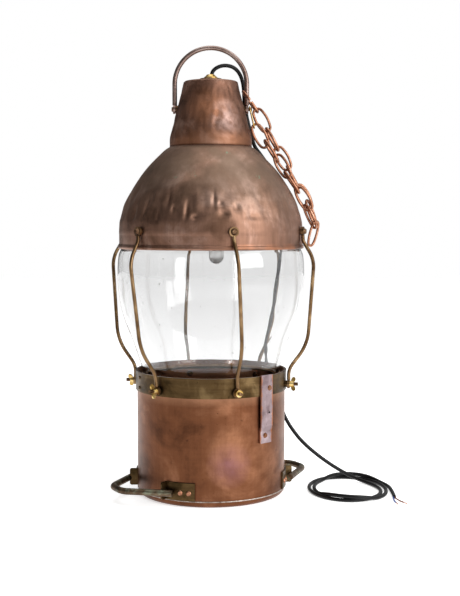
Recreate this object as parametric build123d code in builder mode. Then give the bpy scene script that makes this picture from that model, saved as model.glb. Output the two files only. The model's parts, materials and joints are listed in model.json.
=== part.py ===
from build123d import *

import os
from math import atan, cos, degrees, pi, radians, sin, tan

# Copper ship's lantern with a clear barrel globe, six guard rods and a swinging bail, wired for
# an electric bulb. Millimetres, +Z up, the lantern stands on z = 0 and its axis is Z. The front
# faces -Y. Bearings are degrees from the front, positive towards +X.

os.makedirs("parts", exist_ok=True)

# ---------------------------------------------------------------- driving dimensions
sheet = 1.2                 # copper sheet of the base, dome and chimney
fit_gap = 0.05              # radial running clearance of pins in their eyes
touch_gap = 0.1             # gap between pieces that lie against each other

base_r = 105.0
base_seam_z = 8.6
base_top_z = 176.0
pan_flange_z = 16.0
band_r = 107.2
band_bottom_z = 149.0

rim_z = 350.0
dome_r = 129.5
dome_wall_z = 375.0
neck_r = 57.8
neck_z = 489.6
cone_bottom_r = 57.0
cone_bottom_z = 506.0
cone_top_r = 38.2
cone_top_z = 578.5
cap_top_z = 582.2
flange_top_z = 585.0
nipple_top_z = 590.6

glass_wall = 4.0
glass_bottom_z = 171.2
glass_top_z = 351.4
gallery_z = 166.4
gallery_thick = 1.6

rod_d = 5.0
stud_r = 2.5
lower_stud_z = 157.0
upper_stud_z = 372.0
rod_names = ["front", "right", "rear_right", "rear_left", "left", "front_left"]
lower_bearings = [19.5 + 60.0 * k for k in range(len(rod_names))]
upper_bearings = [14.0 + 60.0 * k for k in range(len(rod_names))]
eye_r = 6.5
eye_thick = 3.2
lower_eye_r = 110.0         # inner face of the lower eyes, from the lantern axis
upper_eye_r = 131.2
wing_turns = {"right": 80.0, "rear_right": 70.0, "rear_left": 130.0, "left": 60.0, "front_left": 105.0}

strap_bearing = 45.0
strap_half_width = 11.0
strap_thick = 2.4
strap_top_z = 177.5
strap_joggle_z = 104.0
strap_bottom_z = 84.0
rivet_r = 2.0
strap_rivet_places = [(5.0, 159.5, band_r), (-1.5, 94.5, base_r)]   # across, height, wall radius
strap_hole = (4.0, 126.0)
empty_hole = (135.0, 167.0)                                       # bearing, height

bail_pivot_z = 542.5
bail_d = 6.6
bail_top_z = 631.0
pivot_eye_x = 49.6          # inner face of the bail's eyes
bail_eye_thick = 3.2

lamp_lean = 1.8             # the lamp hangs slightly out of plumb
tube_bottom_drop = 152.0    # drops are measured below the cap, along the lamp's own axis
holder_bottom_drop = 202.0
bulb_bottom_drop = 257.0
bulb_r = 10.5

link_wire = 3.7
link_half_length = 17.65    # to the middle of the wire
link_half_width = 8.15
link_end_r = 6.6

handle_bar_d = 9.0
handle_z = 20.0
handle_bearings = {"left": -60.0, "right": 120.0}
bracket_reach = (25.0, 49.0)                                      # degrees from the handle's middle
bracket_rivet_bearings = (37.8, 44.4)
bracket_z = (10.0, 34.0)
bracket_r = base_r + fit_gap
bracket_thick = 2.0

cable_d = 5.4
core_d = 1.9


# ---------------------------------------------------------------- helpers
def save(builder, name):
    builder.part.label = name
    export_step(builder.part, f"parts/{name}.step")


def around(radius, bearing, z):
    """The point at a radius from the lantern axis, at a bearing and a height."""
    return Vector(radius * sin(radians(bearing)), -radius * cos(radians(bearing)), z)


def facing(bearing, z, radius=0.0, across=0.0):
    """A plane looking outwards at a bearing, with local X along the wall and local Y up."""
    along = Vector(cos(radians(bearing)), sin(radians(bearing)), 0)
    origin = around(radius, bearing, z) + along * across
    return Plane(origin=origin, x_dir=along, z_dir=around(1, bearing, 0))


def drill(plane, radius, start, end):
    """Cuts a round hole along a plane's normal out of the part being built."""
    with Locations(plane.offset(start)):
        Cylinder(radius, end - start, align=(Align.CENTER, Align.CENTER, Align.MIN), mode=Mode.SUBTRACT)


def drill_wall():
    """Cuts the studs', the strap rivets' and the empty hole through the wall being built."""
    for bearing in lower_bearings:
        drill(facing(bearing, lower_stud_z), stud_r, base_r - 10, base_r + 10)
    for across, height, _ in strap_rivet_places:
        drill(facing(strap_bearing, height, 0, across), rivet_r, base_r - 10, base_r + 10)
    drill(facing(empty_hole[0], empty_hole[1]), rivet_r, base_r - 10, base_r + 10)


def ring(name, inner, outer, bottom, top):
    """A flat ring about the lantern axis."""
    with BuildPart() as piece:
        with BuildSketch(Plane.XY.offset(bottom)):
            Circle(outer)
            Circle(inner, mode=Mode.SUBTRACT)
        extrude(amount=top - bottom)
    save(piece, name)


def turned(name, *profile):
    """A piece turned about the lantern axis from a profile of (radius, height)."""
    with BuildPart() as piece:
        with BuildSketch(Plane.XZ):
            with BuildLine():
                Polyline(*profile, close=True)
            make_face()
        revolve(axis=Axis.Z)
    save(piece, name)


def inset_points(curve, distance, count=6):
    """Points to the left of a flat curve, at an even distance from it."""
    points = []
    for index in range(count):
        point = curve @ (index / (count - 1))
        heading = curve % (index / (count - 1))
        points.append((point.X - distance * heading.Y, point.Y + distance * heading.X))
    return points


def cone_radius(z):
    share = (z - cone_bottom_z) / (cone_top_z - cone_bottom_z)
    return cone_bottom_r + share * (cone_top_r - cone_bottom_r)


def bend_radii(points, share=0.45):
    """The largest even bend at each corner of a route, from the shorter run beside it."""
    radii = []
    for before, corner, after in zip(points, points[1:], points[2:]):
        into = Vector(*corner) - Vector(*before)
        out = Vector(*after) - Vector(*corner)
        half_turn = radians(into.get_angle(out)) / 2
        radii.append(share * min(into.length, out.length) / tan(half_turn))
    return radii


# ---------------------------------------------------------------- base: pan, seam, drum, band
pan_edge_r = 8.0
with BuildPart() as base_pan:
    with BuildSketch(Plane.XZ):
        with BuildLine():
            flange_r = base_r - sheet - touch_gap
            Line((0, 0), (base_r - pan_edge_r, 0))
            CenterArc((base_r - pan_edge_r, pan_edge_r), pan_edge_r, -90, 90)
            bend = CenterArc((base_r - pan_edge_r, pan_edge_r), pan_edge_r - sheet, -90, 75)
            Polyline(
                (base_r, pan_edge_r),
                (flange_r, base_seam_z),
                (flange_r, pan_flange_z),
                (flange_r - sheet, pan_flange_z),
                (flange_r - sheet, base_seam_z),
                bend @ 1,
            )
            Polyline(bend @ 0, (0, sheet), (0, 0))
        make_face()
    revolve(axis=Axis.Z)
save(base_pan, "base_pan")

ring("solder_seam", base_r, base_r + 0.8, pan_edge_r, base_seam_z + 1.2)

bracket_rivets_at = []
for middle in handle_bearings.values():
    for side in (-1, 1):
        for offset_angle in bracket_rivet_bearings:
            bracket_rivets_at.append(middle + side * offset_angle)

with BuildPart() as base_drum:
    with BuildSketch(Plane.XY.offset(base_seam_z)):
        Circle(base_r)
        Circle(base_r - sheet, mode=Mode.SUBTRACT)
    extrude(amount=base_top_z - base_seam_z)
    drill_wall()
    for bearing in bracket_rivets_at:
        drill(facing(bearing, handle_z), rivet_r, base_r - 10, base_r + 10)
save(base_drum, "base_drum")

with BuildPart() as brass_band:
    with BuildSketch(Plane.XY.offset(band_bottom_z)):
        Circle(band_r)
        Circle(base_r, mode=Mode.SUBTRACT)
    extrude(amount=base_top_z - band_bottom_z)
    drill_wall()
save(brass_band, "brass_band")

with BuildPart() as band_rivets:
    for height in (155.0, 169.0):
        with BuildSketch(facing(-67.0, height, band_r)):
            Circle(2.6)
        extrude(amount=1.4, taper=30)
save(band_rivets, "band_rivets")

# ---------------------------------------------------------------- strap on the base
strap_out = around(1, strap_bearing, 0)
strap_along = facing(strap_bearing, 0).x_dir
with BuildPart() as strap:
    with BuildSketch(Plane(origin=strap_along * strap_half_width, x_dir=strap_out, z_dir=-strap_along)):
        with BuildLine():
            Polyline(
                (band_r, strap_top_z),
                (band_r, strap_joggle_z + 4),
                (base_r, strap_joggle_z - 4),
                (base_r, strap_bottom_z),
                (base_r + strap_thick, strap_bottom_z),
                (base_r + strap_thick, strap_joggle_z - 4),
                (band_r + strap_thick, strap_joggle_z + 4),
                (band_r + strap_thick, strap_top_z),
                close=True,
            )
        make_face()
    extrude(amount=2 * strap_half_width)
    fillet(strap.edges().filter_by(Axis((0, 0, 0), strap_out)), 1.2)
    with BuildSketch(facing(strap_bearing, strap_hole[1], band_r + strap_thick, strap_hole[0])):
        Circle(3.4)
    extrude(amount=0.4)
    drill(facing(strap_bearing, strap_hole[1], 0, strap_hole[0]), 1.6, base_r - 5, base_r + 10)
    for across, height, _ in strap_rivet_places:
        drill(facing(strap_bearing, height, 0, across), rivet_r, base_r - 5, base_r + 10)
save(strap, "strap")

with BuildPart() as strap_rivets:
    for across, height, wall_r in strap_rivet_places:
        with BuildSketch(facing(strap_bearing, height, wall_r + strap_thick, across)):
            Circle(3.8)
        extrude(amount=1.8, taper=35)
        with BuildSketch(facing(strap_bearing, height, base_r - 4.0, across)):
            Circle(rivet_r)
        extrude(amount=wall_r + strap_thick - base_r + 4.0)
        with BuildSketch(facing(strap_bearing, height, base_r - 4.0, across)):
            Circle(3.2)
        extrude(amount=2.2)
save(strap_rivets, "strap_rivets")

# ---------------------------------------------------------------- lower studs, collars and nuts
nut_start = lower_eye_r + eye_thick + touch_gap
stud_end = nut_start + 11.5
stud_head_r = base_r - sheet - 0.15
with BuildPart() as band_studs:
    for bearing in lower_bearings:
        with BuildSketch(facing(bearing, lower_stud_z, stud_head_r - 3.8)):
            RegularPolygon(4.6, 6)
        extrude(amount=3.8)
        with BuildSketch(facing(bearing, lower_stud_z, stud_head_r)):
            Circle(stud_r)
        extrude(amount=stud_end - stud_head_r)
save(band_studs, "band_studs")

with BuildPart() as stud_collars:
    for bearing in lower_bearings:
        with BuildSketch(facing(bearing, lower_stud_z, band_r + touch_gap)):
            Circle(4.8)
            Circle(stud_r + fit_gap, mode=Mode.SUBTRACT)
        extrude(amount=lower_eye_r - band_r - 2 * touch_gap)
save(stud_collars, "stud_collars")

hub_length = 5.6
for name, bearing in zip(rod_names, lower_bearings):
    plane = facing(bearing, lower_stud_z, nut_start)
    if name in wing_turns:
        turn = radians(wing_turns[name])
        wing_dir = plane.x_dir * cos(turn) + plane.y_dir * sin(turn)
        with BuildPart() as nut:
            with BuildSketch(plane):
                Circle(4.6)
            extrude(amount=hub_length, taper=8)
            with BuildSketch(Plane(origin=plane.origin, x_dir=wing_dir, z_dir=wing_dir.cross(plane.z_dir))):
                for side in (-1, 1):
                    with Locations((side * 6.0, 4.9)):
                        Ellipse(4.0, 3.0, rotation=side * 20)
            extrude(amount=1.1, both=True)
            drill(plane, stud_r + fit_gap, -2, 12)
        save(nut, f"wing_nut_{name}")
    else:
        with BuildPart() as nut:
            with BuildSketch(plane):
                Circle(5.4)
            extrude(amount=hub_length, taper=6)
            drill(plane, stud_r + fit_gap, -2, 12)
        save(nut, f"round_nut_{name}")

# ---------------------------------------------------------------- guard rods and upper studs
rod_profile = [
    (upper_eye_r + eye_thick / 2, upper_stud_z - 5.4),
    (upper_eye_r + eye_thick / 2 + 0.4, 358.5),
    (148.5, 333.0),
    (142.5, 262.0),
    (138.5, 214.0),
    (lower_eye_r + eye_thick / 2, 178.0),
    (lower_eye_r + eye_thick / 2, lower_stud_z + 5.6),
]
rod_bends = [11.0, 42.0, 60.0, 70.0, 28.0]
for name, top_bearing, bottom_bearing in zip(rod_names, upper_bearings, lower_bearings):
    top_z = rod_profile[0][1]
    bottom_z = rod_profile[-1][1]
    points = []
    for radius, z in rod_profile:
        share = (top_z - z) / (top_z - bottom_z)
        points.append(around(radius, top_bearing + share * (bottom_bearing - top_bearing), z))
    eyes = [
        facing(top_bearing, upper_stud_z, upper_eye_r),
        facing(bottom_bearing, lower_stud_z, lower_eye_r),
    ]
    with BuildPart() as guard_rod:
        with BuildLine() as path:
            FilletPolyline(*points, radius=rod_bends)
        with BuildSketch(Plane(origin=path.line @ 0, z_dir=path.line % 0)):
            Circle(rod_d / 2)
        sweep()
        for eye in eyes:
            with BuildSketch(eye):
                Circle(eye_r)
            extrude(amount=eye_thick)
            drill(eye, stud_r + fit_gap, -3, eye_thick + 3)
    save(guard_rod, f"guard_rod_{name}")

dome_head_r = dome_r - sheet - 0.15
upper_cap_r = upper_eye_r + eye_thick + touch_gap
with BuildPart() as dome_studs:
    for bearing in upper_bearings:
        with BuildSketch(facing(bearing, upper_stud_z, dome_head_r - 3.0)):
            Circle(4.4)
        extrude(amount=3.0)
        with BuildSketch(facing(bearing, upper_stud_z, dome_head_r)):
            Circle(stud_r)
        extrude(amount=upper_cap_r - dome_head_r)
        with BuildSketch(facing(bearing, upper_stud_z, upper_cap_r)):
            Circle(4.7)
        extrude(amount=3.2, taper=28)
save(dome_studs, "dome_studs")

with BuildPart() as dome_stud_collars:
    for bearing in upper_bearings:
        with BuildSketch(facing(bearing, upper_stud_z, dome_r + touch_gap)):
            Circle(5.0)
            Circle(stud_r + fit_gap, mode=Mode.SUBTRACT)
        extrude(amount=upper_eye_r - dome_r - 2 * touch_gap)
save(dome_stud_collars, "dome_stud_collars")

# ---------------------------------------------------------------- globe and its seats
glass_outline = [
    (97.0, glass_bottom_z),
    (98.4, 179.0),
    (104.3, 196.0),
    (110.8, 215.0),
    (119.5, 238.0),
    (126.8, 262.0),
    (131.0, 290.0),
    (131.8, 318.0),
    (130.4, 337.0),
    (127.4, 346.0),
    (126.9, glass_top_z),
]
with BuildPart() as glass_globe:
    with BuildSketch(Plane.XZ):
        with BuildLine():
            outer = Spline(*glass_outline)
            inner = Spline(*[(radius - glass_wall, z) for radius, z in glass_outline])
            Line(outer @ 0, inner @ 0)
            Line(outer @ 1, inner @ 1)
        make_face()
    revolve(axis=Axis.Z)
save(glass_globe, "glass_globe")

drum_inner_r = base_r - sheet
turned(
    "lower_gallery",
    (91.0, gallery_z),
    (drum_inner_r - 1.3, gallery_z),
    (drum_inner_r - 1.3, gallery_z - 3.2),
    (drum_inner_r, gallery_z - 3.2),
    (drum_inner_r, gallery_z + gallery_thick),
    (91.0, gallery_z + gallery_thick),
)
ring("lower_gasket", 92.0, 99.0, gallery_z + gallery_thick, glass_bottom_z)

upper_seat_z = glass_top_z + 2.0
ring("upper_gasket", 120.5, 127.2, glass_top_z, upper_seat_z)
ring("upper_gallery", 119.0, dome_r - sheet, upper_seat_z, upper_seat_z + 1.4)

# ---------------------------------------------------------------- dome, collar, cone and cap
dome_outline = [
    (dome_r, dome_wall_z),
    (127.0, 396.5),
    (116.0, 423.5),
    (94.8, 454.6),
    (69.0, 481.8),
    (neck_r, neck_z),
]
crown_tangents = [(0, 1), (-1, 0.62)]
with BuildPart() as dome_shell:
    with BuildSketch(Plane.XZ):
        with BuildLine():
            wall_outer = Line((dome_r, rim_z), (dome_r, dome_wall_z))
            crown_outer = Spline(*dome_outline, tangents=crown_tangents)
            wall_inner = Line((dome_r - sheet, rim_z), (dome_r - sheet, dome_wall_z))
            crown_inner = Spline(*inset_points(crown_outer, sheet), tangents=crown_tangents)
            Line(wall_outer @ 0, wall_inner @ 0)
            Line(crown_outer @ 1, crown_inner @ 1)
        make_face()
        with Locations((dome_r + 0.3, rim_z)):
            RectangleRounded(2.8, 5.0, 1.2)
    revolve(axis=Axis.Z)
    for bearing in upper_bearings:
        drill(facing(bearing, upper_stud_z), stud_r, dome_r - 6, dome_r + 3)
save(dome_shell, "dome_shell")

ring("chimney_collar", neck_r - sheet, neck_r, neck_z + touch_gap, cone_bottom_z)

with BuildPart() as chimney_cone:
    with BuildSketch(Plane.XZ):
        with BuildLine():
            Polyline(
                (cone_bottom_r, cone_bottom_z),
                (cone_top_r, cone_top_z),
                (cone_top_r - sheet, cone_top_z),
                (cone_bottom_r - sheet, cone_bottom_z),
                close=True,
            )
        make_face()
    revolve(axis=Axis.Z)
    for side in (-1, 1):
        drill(facing(side * 90.0, bail_pivot_z), stud_r, 40, 60)
save(chimney_cone, "chimney_cone")

gland_bore_r = 5.2
turned(
    "chimney_cap",
    (gland_bore_r, cap_top_z - sheet),
    (gland_bore_r, cap_top_z),
    (cone_top_r - 9.0, cap_top_z - 0.5),
    (cone_top_r - 1.6, cap_top_z - 1.5),
    (cone_top_r, cap_top_z - 2.8),
    (cone_top_r, cone_top_z),
    (cone_top_r - sheet, cone_top_z),
    (cone_top_r - sheet, cap_top_z - 2.9),
    (cone_top_r - 9.0, cap_top_z - 0.5 - sheet),
)

# ---------------------------------------------------------------- cable gland and lamp
turned(
    "gland_flange",
    (3.8, cap_top_z),
    (16.4, cap_top_z),
    (16.4, flange_top_z - 1.0),
    (15.4, flange_top_z),
    (3.8, flange_top_z),
)
turned(
    "gland_nipple",
    (3.9, flange_top_z),
    (9.8, flange_top_z),
    (9.4, flange_top_z + 2.0),
    (7.2, flange_top_z + 3.6),
    (5.6, nipple_top_z),
    (3.9, nipple_top_z),
)

lamp_down = Vector(sin(radians(lamp_lean)), 0, -cos(radians(lamp_lean)))
lamp_top = Vector(0, 0, cap_top_z)
lamp_across = (cos(radians(lamp_lean)), 0, sin(radians(lamp_lean)))
lamp_side = Plane(origin=lamp_top, x_dir=lamp_across, z_dir=(0, -1, 0))


def hung(name, *profile):
    """A piece turned about the lamp's own axis from a profile of (radius, drop below the cap)."""
    with BuildPart() as piece:
        with BuildSketch(lamp_side):
            with BuildLine():
                Polyline(*[(radius, -drop) for radius, drop in profile], close=True)
            make_face()
        revolve(axis=Axis(lamp_top, lamp_down))
    save(piece, name)


tube_r = 5.0
tube_bore_r = 3.6
hung(
    "suspension_tube",
    (tube_bore_r, 0.4),
    (tube_r, 0.4),
    (tube_r, tube_bottom_drop),
    (tube_bore_r, tube_bottom_drop),
)
hung("tube_locknut", (tube_r, 3.0), (11.0, 3.0), (11.0, 8.0), (tube_r, 8.0))
hung(
    "lampholder",
    (tube_bore_r, tube_bottom_drop),
    (8.0, tube_bottom_drop),
    (12.5, tube_bottom_drop + 7.0),
    (14.0, tube_bottom_drop + 15.0),
    (14.0, holder_bottom_drop),
    (12.2, holder_bottom_drop),
    (12.2, tube_bottom_drop + 24.0),
    (tube_bore_r, tube_bottom_drop + 24.0),
)
hung(
    "bulb_cap",
    (0, tube_bottom_drop + 24.5),
    (4.0, tube_bottom_drop + 24.5),
    (11.9, tube_bottom_drop + 30.0),
    (11.9, holder_bottom_drop + 3.0),
    (0, holder_bottom_drop + 3.0),
)
hung(
    "lamp_lead",
    (0, 12.0),
    (cable_d / 2, 12.0),
    (cable_d / 2, tube_bottom_drop + 23.5),
    (0, tube_bottom_drop + 23.5),
)
with BuildPart() as bulb_glass:
    with BuildSketch(lamp_side):
        with BuildLine():
            Polyline(
                (0, -holder_bottom_drop - 3.0),
                (bulb_r - 0.8, -holder_bottom_drop - 3.0),
                (bulb_r, -holder_bottom_drop - 7.0),
                (bulb_r, bulb_r - bulb_bottom_drop),
            )
            CenterArc((0, bulb_r - bulb_bottom_drop), bulb_r, 0, -90)
            Line((0, -bulb_bottom_drop), (0, -holder_bottom_drop - 3.0))
        make_face()
    revolve(axis=Axis(lamp_top, lamp_down))
save(bulb_glass, "bulb_glass")

# ---------------------------------------------------------------- bail and its pivots
leg_x = pivot_eye_x + 1.0
eye_x = pivot_eye_x + bail_eye_thick / 2
arch_z = bail_top_z - bail_d / 2 - leg_x
leg_start_z = bail_pivot_z + 5.6
with BuildPart() as bail:
    with BuildLine() as path:
        Line((-leg_x, 0, leg_start_z), (-leg_x, 0, arch_z))
        ThreePointArc((-leg_x, 0, arch_z), (0, 0, arch_z + leg_x), (leg_x, 0, arch_z))
        Line((leg_x, 0, arch_z), (leg_x, 0, leg_start_z))
    with BuildSketch(Plane.XY.offset(leg_start_z)):
        with Locations((-leg_x, 0)):
            Circle(bail_d / 2)
    sweep()
    for side in (-1, 1):
        with BuildSketch(Plane.YZ.offset(side * eye_x)):
            with Locations((0, bail_pivot_z)):
                Circle(eye_r)
                Circle(stud_r + fit_gap, mode=Mode.SUBTRACT)
        extrude(amount=bail_eye_thick / 2, both=True)
save(bail, "bail")

with BuildPart() as cone_block:
    with BuildSketch(Plane.XZ):
        with BuildLine():
            Polyline(
                (0, cone_bottom_z),
                (cone_bottom_r, cone_bottom_z),
                (cone_top_r, cone_top_z),
                (0, cone_top_z),
                close=True,
            )
        make_face()
    revolve(axis=Axis.Z)

boss_start = 40.0
with BuildPart() as pivot_bosses:
    for side in (-1, 1):
        with BuildSketch(Plane.YZ.offset(side * boss_start)):
            with Locations((0, bail_pivot_z)):
                Circle(5.4)
                Circle(stud_r, mode=Mode.SUBTRACT)
        extrude(amount=side * (pivot_eye_x - touch_gap - boss_start))
    add(cone_block.part, mode=Mode.SUBTRACT)
save(pivot_bosses, "pivot_bosses")

pivot_head_gaps = {-1: 0.2, 1: 3.1}     # the right-hand pivot also carries the brass link
pivot_inner_x = cone_radius(bail_pivot_z) - sheet - 3.0
with BuildPart() as pivot_rivets:
    for side, gap in pivot_head_gaps.items():
        head_x = pivot_eye_x + bail_eye_thick + gap
        with BuildSketch(Plane.YZ.offset(side * (pivot_inner_x - 1.5))):
            with Locations((0, bail_pivot_z)):
                Circle(4.2)
        extrude(amount=side * 2.0)
        with BuildSketch(Plane.YZ.offset(side * pivot_inner_x)):
            with Locations((0, bail_pivot_z)):
                Circle(stud_r)
        extrude(amount=side * (head_x - pivot_inner_x))
        with BuildSketch(Plane.YZ.offset(side * head_x)):
            with Locations((0, bail_pivot_z)):
                Circle(3.8)
        extrude(amount=side * 2.0, taper=25)
save(pivot_rivets, "pivot_rivets")

# ---------------------------------------------------------------- chain
end_middle = link_half_length - link_end_r
side_bend_r = (end_middle**2 + link_half_width**2 - link_end_r**2) / (2 * (link_half_width - link_end_r))
side_turn = degrees(atan(end_middle / (side_bend_r - link_half_width)))
side_start = (
    -side_bend_r * sin(radians(side_turn)),
    link_half_width - side_bend_r * (1 - cos(radians(side_turn))),
)
side_heading = (cos(radians(side_turn)), sin(radians(side_turn)))

with BuildPart() as link:
    with BuildLine() as oval:
        top_side = JernArc(side_start, side_heading, side_bend_r, -2 * side_turn)
        far_end = JernArc(top_side @ 1, top_side % 1, link_end_r, 2 * side_turn - 180)
        low_side = JernArc(far_end @ 1, far_end % 1, side_bend_r, -2 * side_turn)
        JernArc(low_side @ 1, low_side % 1, link_end_r, 2 * side_turn - 180)
    with BuildSketch(Plane(origin=oval.line @ 0, z_dir=oval.line % 0)):
        Circle(link_wire / 2)
    sweep()

link_mouth = 3.2
with BuildPart() as open_link:
    add(link.part)
    with Locations((0, link_half_width, 0)):
        Box(link_mouth, 6, 6, mode=Mode.SUBTRACT)


def link_place(centre, lean, roll):
    """A link's plane: its long axis leans from the vertical towards +X, then it rolls about it."""
    along = Vector(sin(radians(lean)), 0, -cos(radians(lean)))
    front = Vector(0, -1, 0)
    normal = front * cos(radians(roll)) + along.cross(front) * sin(radians(roll))
    return Plane(origin=centre, x_dir=along, z_dir=normal)


def below(point, distance, lean):
    """The point at a distance down a line that leans from the vertical towards +X."""
    return Vector(*point) + Vector(sin(radians(lean)), 0, -cos(radians(lean))) * distance


# the taut strand hangs from the open link, which turns with the bail about the bail's own axis
strand_top = (63.2, 0.0, bail_pivot_z)
strand_lean = 29.0
strand_pitch = 30.3
strand_rolls = [14.0, 80.0, 10.0, 98.0, -8.0]
taut_links = []
for index, roll in enumerate(strand_rolls):
    centre = below(strand_top, link_half_length + index * strand_pitch, strand_lean)
    taut_links.append((centre, strand_lean, roll))

# the loose strand hangs in front of it from the brass link; both end in one bottom link
loose_links = [
    ((69.4, -6.0, 505.0), 28, 16),
    ((85.0, -10.5, 483.5), 32, 80),
    ((100.5, -14.0, 462.5), 30, 30),
    ((113.5, -12.5, 440.0), 35, 85),
    ((130.5, -14.5, 417.0), 30, 25),
    ((139.5, -12.0, 392.5), 25, 65),
]
end_links = [((141.5, -1.0, 398.5), 20, 115), ((144.5, -6.5, 368.5), -15, -50)]

open_lean = 36.0
open_bottom = below(strand_top, 4.6, 35.0)
open_place = link_place(below(open_bottom, -link_half_length, open_lean), open_lean, 86)
with BuildPart() as chain_open_link:
    add(open_place * open_link.part)
save(chain_open_link, "chain_open_link")

strands = {
    "chain_upper": taut_links[:3] + loose_links[:3],
    "chain_lower": taut_links[3:] + loose_links[3:] + end_links,
}
for name, links in strands.items():
    with BuildPart() as strand:
        for centre, lean, roll in links:
            add(link_place(centre, lean, roll) * link.part)
    save(strand, name)

brass_wire = 1.8
brass_half_length = 15.6
brass_end_r = 5.6
brass_top = Vector(pivot_eye_x + bail_eye_thick + 1.6, 0, bail_pivot_z + stud_r + brass_wire / 2 + touch_gap)
brass_down = Vector(0.21, -0.13, -0.94).normalized()
brass_across = brass_down.cross(Vector(0, -1, 0)).normalized()
brass_plane = Plane(origin=brass_top + brass_down * brass_half_length, x_dir=brass_down, z_dir=brass_across)
with BuildPart() as brass_link_flat:
    with BuildLine() as oval:
        straight = brass_half_length - brass_end_r
        Line((-straight, brass_end_r), (straight, brass_end_r))
        ThreePointArc((straight, brass_end_r), (brass_half_length, 0), (straight, -brass_end_r))
        Line((straight, -brass_end_r), (-straight, -brass_end_r))
        ThreePointArc((-straight, -brass_end_r), (-brass_half_length, 0), (-straight, brass_end_r))
    with BuildSketch(Plane(origin=(-straight, brass_end_r, 0), z_dir=(1, 0, 0))):
        Circle(brass_wire / 2)
    sweep()
with BuildPart() as brass_link:
    add(brass_plane * brass_link_flat.part)
save(brass_link, "brass_link")

# ---------------------------------------------------------------- foot handles and brackets
handle_outline = [(94.5, 61.5), (147.5, 16.0), (147.5, -16.0), (94.5, -61.5)]    # outwards, along
handle_bend = 20.0
ear_reach = 116.5


def handle_points(middle):
    """The corners of a foot handle's bent bar, from one end to the other."""
    wall = facing(middle, handle_z)
    return [wall.z_dir * out + wall.x_dir * along + wall.origin for out, along in handle_outline]


for name, middle in handle_bearings.items():
    with BuildPart() as handle:
        with BuildLine() as path:
            FilletPolyline(*handle_points(middle), radius=handle_bend)
        with BuildSketch(Plane(origin=path.line @ 0, z_dir=path.line % 0)):
            Circle(handle_bar_d / 2)
        sweep()
    save(handle, f"foot_handle_{name}")

ear_names = {-1: "a", 1: "b"}
for name, middle in handle_bearings.items():
    for side, letter in ear_names.items():
        start, end = [middle + side * angle for angle in bracket_reach]
        with BuildPart() as bracket:
            with BuildSketch(Plane.XY.offset(bracket_z[0])):
                with BuildLine():
                    inner_start = around(bracket_r, start, 0)
                    inner_end = around(bracket_r, end, 0)
                    outer_start = around(bracket_r + bracket_thick, start, 0)
                    outer_end = around(bracket_r + bracket_thick, end, 0)
                    RadiusArc(inner_start, inner_end, -side * bracket_r)
                    RadiusArc(outer_start, outer_end, -side * (bracket_r + bracket_thick))
                    Line(inner_start, outer_start)
                    Line(inner_end, outer_end)
                make_face()
            extrude(amount=bracket_z[1] - bracket_z[0])
            ear_plane = facing(start, (bracket_z[0] + bracket_z[1]) / 2)
            ear_middle = (bracket_r + 0.6 + ear_reach) / 2
            ear_side = Plane(origin=ear_plane.origin, x_dir=ear_plane.z_dir, z_dir=ear_plane.x_dir * side)
            with BuildSketch(ear_side):
                with Locations((ear_middle, 0)):
                    RectangleRounded(ear_reach - bracket_r - 0.6, bracket_z[1] - bracket_z[0], 3.0)
                with Locations((ear_middle - 4.0, 0)):
                    Rectangle(ear_reach - bracket_r - 8.6, bracket_z[1] - bracket_z[0])
            extrude(amount=bracket_thick)
            for angle in bracket_rivet_bearings:
                drill(facing(middle + side * angle, handle_z), rivet_r, base_r - 5, base_r + 8)
            with BuildLine() as path:
                FilletPolyline(*handle_points(middle), radius=handle_bend)
            with BuildSketch(Plane(origin=path.line @ 0, z_dir=path.line % 0)):
                Circle(handle_bar_d / 2 + fit_gap)
            sweep(mode=Mode.SUBTRACT)
        save(bracket, f"foot_bracket_{name}_{letter}")

with BuildPart() as bracket_rivets:
    for bearing in bracket_rivets_at:
        with BuildSketch(facing(bearing, handle_z, bracket_r + bracket_thick + touch_gap)):
            Circle(3.6)
        extrude(amount=1.8, taper=35)
        with BuildSketch(facing(bearing, handle_z, base_r - 3.6)):
            Circle(rivet_r)
        extrude(amount=3.6 + fit_gap + bracket_thick + touch_gap)
        with BuildSketch(facing(bearing, handle_z, base_r - 3.6)):
            Circle(3.0)
        extrude(amount=2.2)
save(bracket_rivets, "bracket_rivets")

# ---------------------------------------------------------------- cable
# the cable's line from inside the gland, over the bail's leg, down behind the globe to the floor
cable_route = [
    (0.2, 0, 577),
    (0.3, 0, 592),
    (6.5, 0.5, 600),
    (18.5, 2, 604.5),
    (33, 5, 602),
    (42.5, 9, 591),
    (46.5, 14, 575),
    (47, 19, 555),
    (51, 22, 533),
    (56.5, 24.5, 512),
    (61.5, 27.5, 493),
    (70, 34, 483),
    (87, 46, 460),
    (97.3, 58.5, 440),
    (105.7, 71.3, 415),
    (107.4, 80.9, 388),
    (108, 86, 362),
    (107, 90, 338),
    (101.9, 92.8, 311),
    (97.5, 93.5, 285),
    (96.5, 92, 262),
    (91.5, 89.5, 236),
    (83, 85.5, 206),
    (84, 81.5, 184),
    (90.4, 75.8, 157),
    (97, 72, 136),
    (101, 68, 115),
    (108.9, 62, 94),
    (120, 60, 76),
    (135.6, 57, 57),
    (161.9, 55, 35),
    (190.9, 53, 16),
    (216.6, 49, 4),
    (238, 15, 2.75),
    (243, -12, 2.75),
]
coil_middle = (194.0, -2.0)
coil_outer = (65.0, 84.0)
coil_inner = (44.0, 62.0)
coil_height = 15.0
tail_route = [(247, -18, 2.75), (255.4, -36, 2.75), (255.4, -51, 2.75)]
core_routes = {
    "core_blue": [(254.2, -51, 2.75), (254.2, -57, 2.75), (253, -67, 1.7), (254.5, -75, 1.3)],
    "core_brown": [(256.6, -51, 2.75), (256.6, -57, 2.75), (260, -66, 1.7), (265, -74, 1.3)],
}


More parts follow.
